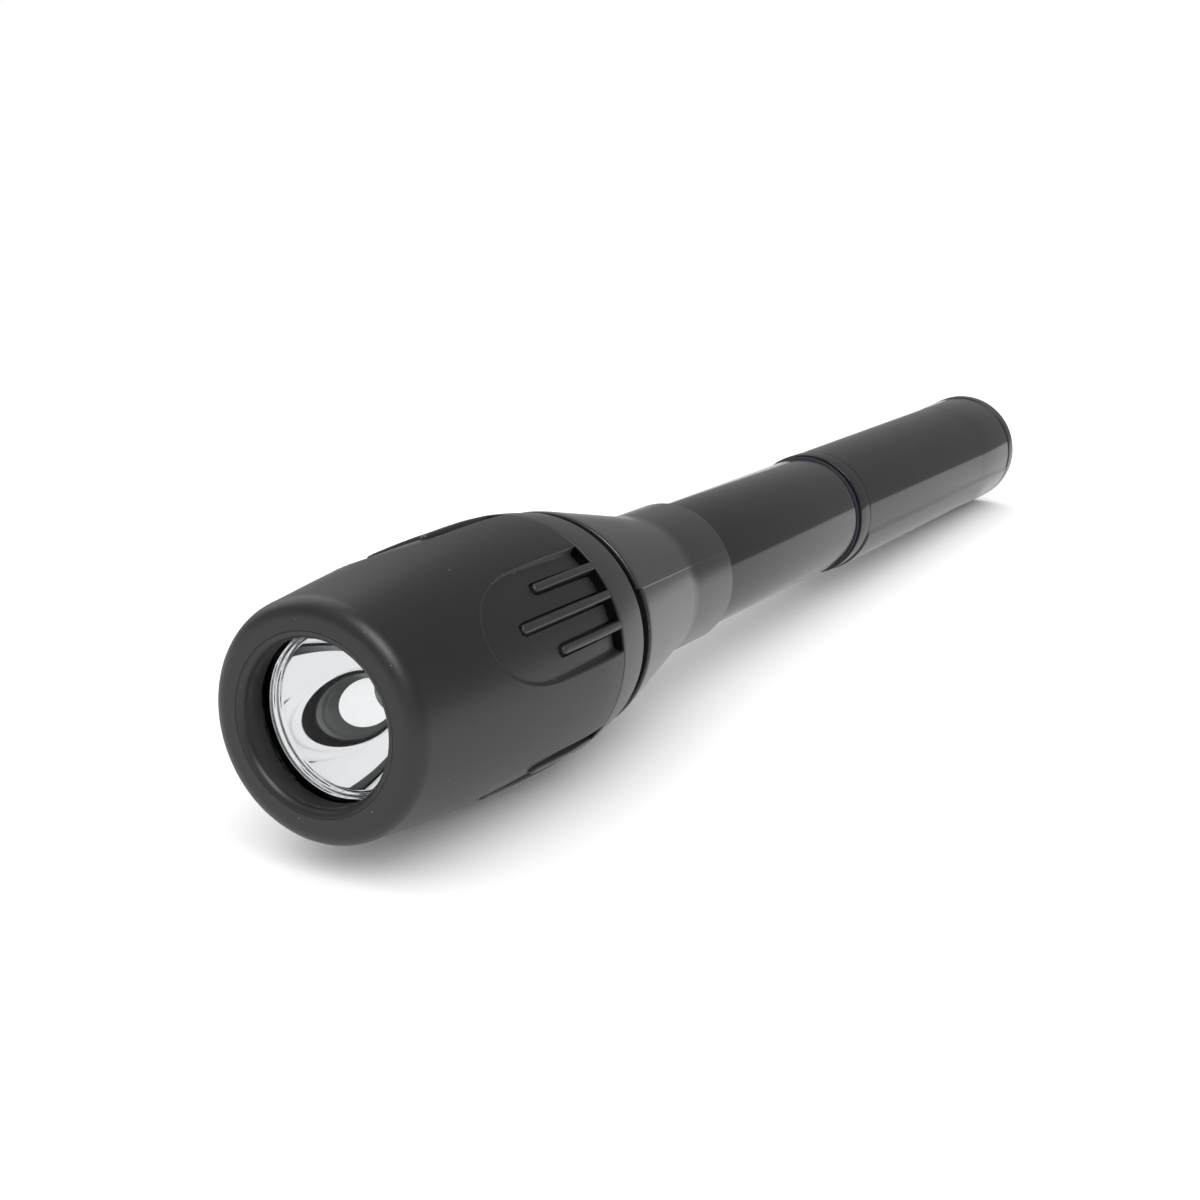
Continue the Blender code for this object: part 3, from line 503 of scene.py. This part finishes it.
# The band is a turned ring that follows the head's outline and is undercut behind its front edge
def makeCollar():
    front, rear, bore, inset = collar["front"], collar["rear"], collar["bore"], collar["bandInset"]
    frontRadius, rearRadius = float(headRadius(front)), float(headRadius(rear))
    edgeRadius, edgeFillets = frontRadius - collar["edge"], collar["edgeFillets"]
    corners = [(front + collar["undercut"], bore),
               (front + collar["undercut"], edgeRadius - collar["edgeDrop"], collar["undercutFillet"]),
               (front, edgeRadius, edgeFillets[0]), (front, frontRadius, edgeFillets[1])]
    corners += [(s, float(headRadius(s))) for s in np.linspace(front + inset, rear - inset, 8)]
    corners += [(rear, rearRadius, collar["fillet"]), (rear, bore)]
    parts = [turnedPiece("collar_band", corners, 200)]
    for centre in sleeve["scoops"]:
        for offset, nose in zip(sleeve["fingerAngles"], sleeve["fingerNoses"]):
            parts.append(gridPiece("collar_finger", closeEnds(fingerPoints(centre + offset, nose))))
    return joinPieces("collar_with_fingers", parts)


carry(makeCollar(), collarPlastic, "head", "satin_black", "collar_ring")
print("collar made")

# Head shell, seen as the thin flange behind the collar

shell = {"front": 7.4, "mouth": 10.7, "radius": 13.2, "seatRear": 9.0, "bore": 11.7,
         "flangeFront": 48.45, "flangeRear": 49.05, "flangeRadius": 14.2}
shellCorners = [
    (shell["front"], shell["mouth"]), (shell["front"], shell["radius"], 0.2),
    (shell["flangeFront"], shell["radius"]), (shell["flangeFront"], shell["flangeRadius"], 0.12),
    (shell["flangeRear"], shell["flangeRadius"], 0.2), (shell["flangeRear"], shell["bore"]),
    (shell["seatRear"], shell["bore"]), (shell["seatRear"], shell["mouth"])]
carry(turnedPiece("head_inner_shell", shellCorners), collarPlastic, "head", "satin_black", "head_shell")

# Lens, mirror bowl and LED

lens = {"front": 4.05, "rear": 5.05, "radius": 11.6, "edge": 0.15}
lensCorners = [(lens["front"], 0.0), (lens["front"], lens["radius"], lens["edge"]),
               (lens["rear"], lens["radius"], lens["edge"]), (lens["rear"], 0.0)]
carry(turnedPiece("clear_lens", lensCorners, 128, ring=False), clearPlastic, "head", "clear_plastic", "lens")

bowl = {"rimFront": 5.5, "rimRadius": 9.85, "bandRadius": 9.25, "beads": 2.0, "beadHeight": 0.06,
        "vertex": 15.23, "focal": 2.91, "flattening": 0.0127, "hole": 2.5, "neck": 1.3,
        "flange": 11.6, "flangeDepth": 1.7, "wallSide": 0.55, "wallBack": 1.1}


# Depth below the vertex: the parabola radius^2 = 4 focal depth, flattened a little into an ellipse
def bowlDepth(radius):
    root = np.sqrt(1.0 - bowl["flattening"] * radius * radius / bowl["focal"])
    return (1.0 - root) / (2.0 * bowl["flattening"])


# Bright conical band at the rim with beads turned on it as raised cosines, then the bowl, neck, back and flange
def makeBowl():
    vertex = bowl["vertex"]
    bandRear = vertex - float(bowlDepth(bowl["bandRadius"]))
    along = np.linspace(0.0, 1.0, 33)
    bead = 0.5 * bowl["beadHeight"] * (1.0 - np.cos(2.0 * np.pi * bowl["beads"] * along))
    band = np.stack((bowl["rimFront"] + (bandRear - bowl["rimFront"]) * along,
                     bowl["rimRadius"] + (bowl["bandRadius"] - bowl["rimRadius"]) * along - bead), -1)
    radii = np.linspace(bowl["bandRadius"], bowl["hole"], 72)[1:]
    inside = np.stack((vertex - bowlDepth(radii), radii), -1)
    backRadii = np.linspace(bowl["hole"] + bowl["wallSide"], bowl["rimRadius"] - bowl["wallSide"], 16)
    back = np.stack((vertex - bowlDepth(backRadii) + bowl["wallBack"], backRadii + bowl["wallSide"]), -1)
    neckRear, flangeRear = vertex + bowl["neck"], bowl["rimFront"] + bowl["flangeDepth"]
    neck = [(neckRear, bowl["hole"]), (neckRear, back[0, 1])]
    flange = [(flangeRear, bowl["rimRadius"] + bowl["wallSide"]), (flangeRear, bowl["flange"]),
              (bowl["rimFront"], bowl["flange"])]
    outline = [tuple(point) for point in (*band, *inside, *neck, *back, *flange)]
    return turnedPiece("mirror_bowl", outline, 256)


carry(makeBowl(), mirrorFinish, "head", "reflector_mirror", "reflector")

led = {"domeCentre": 16.2, "radius": 2.5, "footFront": 20.6, "footRear": 21.7, "footRadius": 2.85}
ledCorners = [(led["domeCentre"] - led["radius"] * math.cos(turn), led["radius"] * math.sin(turn))
              for turn in np.linspace(0.0, 0.5 * math.pi, 14)]
ledCorners += [(led["footFront"], led["radius"]), (led["footFront"], led["footRadius"]),
               (led["footRear"], led["footRadius"], 0.1), (led["footRear"], 0.0)]
carry(turnedPiece("led_lamp", ledCorners, 96, ring=False), ledResin, "lamp", "led_resin", "led_emitter")
print("optics made")

# Front housing with spigot, cone, neck and mould line

housing = {
    "spigot": [(24.4, 7.6), (24.4, 9.7, 0.3), (38.0, 9.7), (38.0, 11.3, 0.3),
               (45.0, 11.3), (45.0, 10.15), (46.9, 10.15), (46.9, 11.3)],
    "spigotRadius": 11.3, "coneFront": 50.35, "coneRadius": 14.85, "coneRear": 72.2, "blend": 14.0,
    "neckRadius": 10.25, "neckRear": 83.9, "socketRadius": 9.8, "socketFront": 61.7, "bore": 7.6,
    "lip": 0.8, "lipBore": 14.35, "lipEdge": 0.34, "plainLip": 0.02,
    "seamAngle": 63.5, "seamHeight": 0.045, "seamWidth": 0.085,
    "seamBeside": (-0.9, -0.6, -0.4, -0.2, -0.1, 0.0, 0.1, 0.2, 0.4, 0.6, 0.9),
    "seamFade": 0.6, "seamFadeRows": (68.0, 74.0), "halfFrom": (179.9, 180.1), "halfTo": (359.7, 359.9),
}


# The housing's section, with a lip of the given length at its front edge
def housingOutline(lip):
    front, bore = housing["coneFront"], housing["lipBore"]
    return roundedOutline([
        *housing["spigot"], (front, housing["spigotRadius"]), (front, bore),
        (front - lip, bore), (front - lip, housing["coneRadius"] + 0.2 * lip, housing["lipEdge"]),
        (front + 1.2, housing["coneRadius"] - 0.2),
        (housing["coneRear"], housing["neckRadius"], housing["blend"]),
        (housing["neckRear"], housing["neckRadius"], 0.22), (housing["neckRear"], housing["socketRadius"]),
        (housing["socketFront"], housing["socketRadius"]), (housing["socketFront"], housing["bore"])], 8)


# Outline turned round the axis: the upper half's front edge reaches further forward as a thin lip, the halves
# meet at two mould lines, and each line is a low ridge shaped as a bell curve of the distance across it
def makeHousing():
    plain, lipped = housingOutline(housing["plainLip"]), housingOutline(housing["lip"])
    seams = (housing["seamAngle"], housing["seamAngle"] + 180.0)
    angles = seamedAngles(2.0, seams, np.array(housing["seamBeside"]))
    turnFromSeam = (angles - housing["seamAngle"]) % 360.0
    upper = smoothStep(*housing["halfFrom"], turnFromSeam)
    upper = upper * (1.0 - smoothStep(*housing["halfTo"], turnFromSeam))
    station = plain[:, :1] + (lipped - plain)[:, :1] * upper
    radius = plain[:, 1:] + (lipped - plain)[:, 1:] * upper
    outside = (station > housing["coneFront"] + 0.2) & (station < housing["neckRear"] - 0.1)
    outside &= radius > housing["neckRadius"] - 0.2
    ridge = 0.0
    for seam in seams:
        apart = np.radians((angles - seam + 180.0) % 360.0 - 180.0) * radius
        ridge = ridge + np.exp(-(apart / housing["seamWidth"]) ** 2)
    fade = 1.0 - housing["seamFade"] * smoothStep(*housing["seamFadeRows"], station)
    points = place(station, radius + housing["seamHeight"] * ridge * outside * fade, angles)
    return gridPiece("housing_cone_and_neck", points, ringRows=True)


carry(makeHousing(), housingPlastic, "barrel", "satin_black", "front_housing")
print("housing made")

# Barrel with its thread

barrel = {"front": 62.0, "radius": 9.5, "bore": 7.6, "fillet": 0.15, "shoulder": 131.5, "land": 8.55,
          "threadFront": 133.4, "threadRear": 145.0, "threadRadius": 8.95, "threadDepth": 0.5, "pitch": 1.5,
          "threadInset": (0.15, 0.1), "threadSlope": (0.1, 0.9), "rowsPerPitch": 10.0, "endRadius": 8.4}


# Thread: the crest is a rounded triangle wave of station over pitch less turn, faded out at both ends, and the
# radius drops by the depth times one minus the crest
def makeBarrel():
    front, rear, pitch = barrel["threadFront"], barrel["threadRear"], barrel["pitch"]
    inset, angles = barrel["threadInset"], np.linspace(0.0, 360.0, 144, endpoint=False)[None, :]
    plain = roundedOutline([
        (barrel["front"], barrel["bore"]), (barrel["front"], barrel["radius"], barrel["fillet"]),
        (barrel["shoulder"], barrel["radius"], barrel["fillet"]), (barrel["shoulder"], barrel["land"]),
        (front, barrel["land"])], ring=False)
    stations = np.arange(front + inset[0], rear - inset[1], pitch / barrel["rowsPerPitch"])[:, None]
    wave = np.abs(2.0 * ((stations / pitch - angles / 360.0) % 1.0) - 1.0)
    crest = smoothStep(0.0, 1.0, stations - front) * smoothStep(0.0, 1.0, rear - stations)
    crest = crest * smoothStep(*barrel["threadSlope"], wave)
    radius = barrel["threadRadius"] - barrel["threadDepth"] * (1.0 - crest)
    end = np.array(((rear, barrel["endRadius"]), (rear, barrel["bore"])))
    blocks = [place(plain[:, :1], plain[:, 1:], angles), place(stations, radius, angles),
              place(end[:, :1], end[:, 1:], angles)]
    return gridPiece("barrel_with_thread", np.concatenate(blocks), ringRows=True)


carry(makeBarrel(), glossPlastic, "barrel", "gloss_black", "barrel_tube")

# Seal ring in the gap at the tail tube's mouth: a circle carried round the axis

seal = {"station": 132.25, "radius": 9.3, "cord": 0.4}
sealCorners = [(seal["station"] + seal["cord"] * math.cos(turn), seal["radius"] + seal["cord"] * math.sin(turn))
               for turn in np.linspace(0.0, 2.0 * math.pi, 24, endpoint=False)]
carry(turnedPiece("tail_seal_ring", sealCorners, 128), sealRubberBlueShade, "barrel", "seal_rubber", "tail_seal")

# Screwed tail tube with its lip band, and the end plug

tube = {"front": 133.0, "mouth": 9.2, "radius": 9.9, "edge": 0.18, "lipRear": 136.5, "lipEdge": 0.12,
        "groove": 0.14, "grooveAfter": 0.25, "bodyDrop": 0.05, "bodyAfter": 0.6, "flareFront": 193.0,
        "flareBlend": 40.0, "rear": 207.5, "rearRadius": 10.1, "bore": 7.6, "boreFront": 146.4,
        "seamAngle": 105.5, "seamWidth": 6.5, "seamStep": 0.3, "stepAfter": (0.1, 0.5), "stepFade": 0.5,
        "stepSkin": 0.3}


# Tube outline turned round the axis; between the two mould lines the lower half stands prouder by a smooth
# step across each line, which fades to half at the rear
def makeTube():
    lipRear, body = tube["lipRear"], tube["radius"] - tube["bodyDrop"]
    outline = roundedOutline([
        (tube["front"], tube["mouth"], 0.1), (tube["front"], tube["radius"], tube["edge"]),
        (lipRear, tube["radius"], tube["lipEdge"]),
        (lipRear + tube["grooveAfter"], tube["radius"] - tube["groove"], 0.1),
        (lipRear + tube["bodyAfter"], body, 0.2), (tube["flareFront"], body, tube["flareBlend"]),
        (tube["rear"], tube["rearRadius"], 0.15), (tube["rear"], tube["bore"]),
        (tube["boreFront"], tube["bore"]), (tube["boreFront"], tube["mouth"])])
    seams = (tube["seamAngle"], tube["seamAngle"] + 180.0)
    angles = seamedAngles(2.25, seams, np.linspace(-0.5, 0.5, 11) * tube["seamWidth"])
    station, radius = outline[:, :1], outline[:, 1:]
    half = 0.5 * tube["seamWidth"]
    lower = smoothStep(seams[0] - half, seams[0] + half, angles)
    lower = lower * smoothStep(seams[1] + half, seams[1] - half, angles)
    fade = smoothStep(*tube["stepAfter"], station - lipRear) * (radius > tube["radius"] - tube["stepSkin"])
    fade = fade * (1.0 - tube["stepFade"] * smoothStep(lipRear, tube["rear"], station))
    points = place(station, radius + tube["seamStep"] * lower * fade, angles)
    return gridPiece("tail_tube_shell", points, ringRows=True)


carry(makeTube(), glossPlastic, "tail", "gloss_black", "tail_tube")

plug = {"front": 205.8, "spigot": 7.2, "seat": 207.8, "rear": 210.9, "radius": 10.2, "round": 1.1,
        "dishRadius": 6.8, "dishFloor": 6.5, "dishDepth": 0.4}
plugCorners = [
    (plug["front"], 0.0), (plug["front"], plug["spigot"], 0.2), (plug["seat"], plug["spigot"]),
    (plug["seat"], plug["radius"], 0.2), (plug["rear"], plug["radius"], plug["round"]),
    (plug["rear"], plug["dishRadius"], 0.2), (plug["rear"] - plug["dishDepth"], plug["dishFloor"], 0.15),
    (plug["rear"] - plug["dishDepth"], 0.0)]
carry(turnedPiece("tail_end_plug", plugCorners, ring=False), housingPlastic, "tail", "satin_black", "tail_plug")
print("barrel and tail made")

# Inside pieces keep their solids and get their own finishes

brassFinish = metalMaterial("contact_brass_worn", {
    "dark": (0.60, 0.44, 0.20), "light": (0.78, 0.62, 0.32), "roughness": 0.3, "swing": 0.15,
    "grainScale": 3000.0, "slowScale": 300.0, "bump": 0.1, "bumpDepth": 0.00002})
nickelFinish = metalMaterial("nickel_plate", {
    "dark": (0.56, 0.55, 0.52), "light": (0.74, 0.73, 0.70), "roughness": 0.28, "swing": 0.15,
    "grainScale": 3000.0, "slowScale": 300.0, "bump": 0.1, "bumpDepth": 0.00002})
boardFinish = mouldedMaterial("board_green", {
    "dark": (0.03, 0.15, 0.06), "light": (0.05, 0.22, 0.09), "roughness": 0.45, "swing": 0.1,
    "grainScale": 5000.0, "slowScale": 200.0, "bump": 0.1, "bumpDepth": 0.00002})
chipFinish = mouldedMaterial("chip_dark", {
    "dark": (0.05, 0.05, 0.06), "light": (0.09, 0.09, 0.1), "roughness": 0.5, "swing": 0.1,
    "grainScale": 5000.0, "slowScale": 300.0, "bump": 0.1, "bumpDepth": 0.00002})
carrierFinish = mouldedMaterial("carrier_natural", {
    "dark": (0.66, 0.66, 0.62), "light": (0.76, 0.76, 0.73), "roughness": 0.45, "swing": 0.08,
    "grainScale": 5000.0, "slowScale": 120.0, "bump": 0.1, "bumpDepth": 0.00002})
jacketFinish = mouldedMaterial("cell_jacket_grey", {
    "dark": (0.14, 0.16, 0.19), "light": (0.18, 0.20, 0.24), "roughness": 0.3, "swing": 0.06,
    "grainScale": 6000.0, "slowScale": 90.0, "bump": 0.05, "bumpDepth": 0.00002})

insideFinishes = {
    "lens_seal": sealRubberBlueShade, "head_seal": sealRubberBlueShade, "led_board": boardFinish, "drive_resistor": chipFinish,
    "lamp_carrier": carrierFinish, "contact_pin": brassFinish, "ground_band": nickelFinish,
    "barrel_strip": brassFinish, "tail_strip": brassFinish, "joint_washer": nickelFinish,
    "tail_contact": nickelFinish, "tail_spring": nickelFinish,
    "cell_1_can": jacketFinish, "cell_2_can": jacketFinish, "cell_3_can": jacketFinish,
    "cell_1_cap": nickelFinish, "cell_2_cap": nickelFinish, "cell_3_cap": nickelFinish,
}
for node, finish in insideFinishes.items():
    for materialSlot in frame["nodes"][node].material_slots:
        materialSlot.material = finish
print("inside finishes given")

# Stage: a white floor lit by its own lamp, soft light from above, a grey card and a softbox that only
# reflections see; lengths in metres, angles in degrees

stage = {
    "floorHalf": 6.0, "floorWhite": 0.97, "floorSoft": 0.66, "floorMirrored": 0.42, "floorGlow": 0.36,
    "floorThroughLens": 0.42, "floorLamp": 2.2, "floorLampAngle": 110.0, "floorLampFrom": (0.6, -0.5, 0.7),
    "skyLamp": 0.9, "skyAngle": 60.0, "skyFrom": (-0.7, 0.3, 0.7),
    "skySoft": 0.8, "skyMirrored": 0.34, "skyThroughLens": 1.0,
    "cardWay": (0.49, 0.87), "cardAway": 0.27, "cardHalf": 1.5, "cardHeight": 0.6, "cardGlow": 0.3,
    "boxWay": (0.31, -0.53, 0.79), "boxAway": 1.6, "boxHalf": 0.4, "boxGlow": 6.0,
}


def addStagePlane(name, corners):
    mesh = bpy.data.meshes.new(name)
    mesh.from_pydata(corners, [], [(0, 1, 2, 3)])
    plane = bpy.data.objects.new(name, mesh)
    bpy.context.collection.objects.link(plane)
    return plane


# A grey that depends on the kind of ray: each later row that applies wins over the earlier ones
def rayTone(tree, path, plain, rows):
    tone = (plain,) * 3
    for ray, grey in rows:
        tone = colourMix(tree, path.outputs[ray], tone, (grey,) * 3)
    return tone


# The floor is pale for the eye and for reflections; the light that it throws back stays at a plain level
def makeFloor():
    half = stage["floorHalf"]
    floor = addStagePlane("floor", [(-half, -half, 0.0), (half, -half, 0.0), (half, half, 0.0),
                                    (-half, half, 0.0)])
    made, tree, shader = newMaterial("floor_white", {"Roughness": 0.9, "Specular IOR Level": 0.0,
                                                     "Emission Strength": 1.0})
    path = tree.nodes.new("ShaderNodeLightPath")
    tone = rayTone(tree, path, stage["floorSoft"], (("Is Glossy Ray", stage["floorMirrored"]),
                                                    ("Is Transmission Ray", stage["floorThroughLens"]),
                                                    ("Is Camera Ray", stage["floorWhite"])))
    link(tree, tone, shader.inputs["Base Color"])
    glow = rayTone(tree, path, 0.0, (("Is Glossy Ray", stage["floorGlow"]), ("Is Camera Ray", 0.0)))
    link(tree, glow, shader.inputs["Emission Color"])
    floor.data.materials.append(made)
    return floor


# A plane that only reflections see
def reflectedPlane(name, corners, glow):
    plane = addStagePlane(name, [tuple(corner) for corner in corners])
    plane.data.materials.append(newMaterial(name, {
        "Base Color": (0.0, 0.0, 0.0, 1.0), "Specular IOR Level": 0.0,
        "Emission Color": (1.0, 1.0, 1.0, 1.0), "Emission Strength": glow})[0])
    plane.visible_camera = False
    plane.visible_diffuse = False
    plane.visible_transmission = False
    plane.visible_shadow = False


# Grey card standing behind the object
def makeCard():
    way = Vector((*stage["cardWay"], 0.0)).normalized()
    side = Vector((way.y, -way.x, 0.0)) * stage["cardHalf"]
    foot, top = way * stage["cardAway"], Vector((0.0, 0.0, stage["cardHeight"]))
    corners = (foot - side, foot + side, foot + side + top, foot - side + top)
    reflectedPlane("reflection_card", corners, stage["cardGlow"])


# Softbox above the camera, the small bright light on the rounded edges
def makeSoftbox():
    way = Vector(stage["boxWay"]).normalized()
    side = way.cross(Vector((0.0, 0.0, 1.0))).normalized() * stage["boxHalf"]
    rise = side.cross(way).normalized() * stage["boxHalf"]
    centre = way * stage["boxAway"]
    corners = (centre - side - rise, centre + side - rise, centre + side + rise, centre - side + rise)
    reflectedPlane("softbox", corners, stage["boxGlow"])


def makeWorld():
    world = bpy.data.worlds.new("studio")
    world.use_nodes = True
    tree = world.node_tree
    path = tree.nodes.new("ShaderNodeLightPath")
    tone = rayTone(tree, path, stage["skyMirrored"], (("Is Diffuse Ray", stage["skySoft"]),
                                                      ("Is Transmission Ray", stage["skyThroughLens"]),
                                                      ("Is Camera Ray", 1.0)))
    link(tree, tone, tree.nodes["Background"].inputs["Color"])
    bpy.context.scene.world = world


def addSun(name, strength, angle, way):
    data = bpy.data.lights.new(name, "SUN")
    data.energy = strength
    data.angle = math.radians(angle)
    lamp = bpy.data.objects.new(name, data)
    lamp.rotation_euler = Vector(way).to_track_quat("Z", "Y").to_euler()
    bpy.context.collection.objects.link(lamp)
    return lamp


floorPiece = makeFloor()
makeCard()
makeSoftbox()
makeWorld()
addSun("sky_light", stage["skyLamp"], stage["skyAngle"], stage["skyFrom"])
floorLamp = addSun("floor_light", stage["floorLamp"], stage["floorLampAngle"], stage["floorLampFrom"])
floorOnly = bpy.data.collections.new("floor_only")
floorOnly.objects.link(floorPiece)
floorLamp.light_linking.receiver_collection = floorOnly

# Camera, set from the photograph: the front face's centre seen from the camera, in barrel radii

view = {"lens": 60.0, "sensor": 36.0, "near": 0.01, "far": 50.0, "faceAcross": -3.278, "faceBelow": 1.435,
        "faceAhead": 22.767, "sideOfAxis": 0.4886, "elevation": 16.1}


def makeCamera():
    across = view["sideOfAxis"] / axisWay[1]
    right = Vector((math.sqrt(1.0 - across * across), across, 0.0))
    level = Vector((-across, right.x, 0.0))
    tilt = math.radians(view["elevation"])
    ahead = math.cos(tilt) * level - math.sin(tilt) * Vector((0.0, 0.0, 1.0))
    up = math.sin(tilt) * level + math.cos(tilt) * Vector((0.0, 0.0, 1.0))
    faceWay = view["faceAcross"] * right - view["faceBelow"] * up + view["faceAhead"] * ahead
    data = bpy.data.cameras.new("camera")
    data.lens, data.sensor_width = view["lens"], view["sensor"]
    data.clip_start, data.clip_end = view["near"], view["far"]
    camera = bpy.data.objects.new("camera", data)
    bpy.context.collection.objects.link(camera)
    camera.matrix_world = Matrix((right, up, -ahead)).transposed().to_4x4()
    camera.location = Vector(faceCentre) - barrel["radius"] * mm * faceWay
    bpy.context.scene.camera = camera


makeCamera()
bpy.context.scene.view_settings.view_transform = "Standard"
print("stage made")
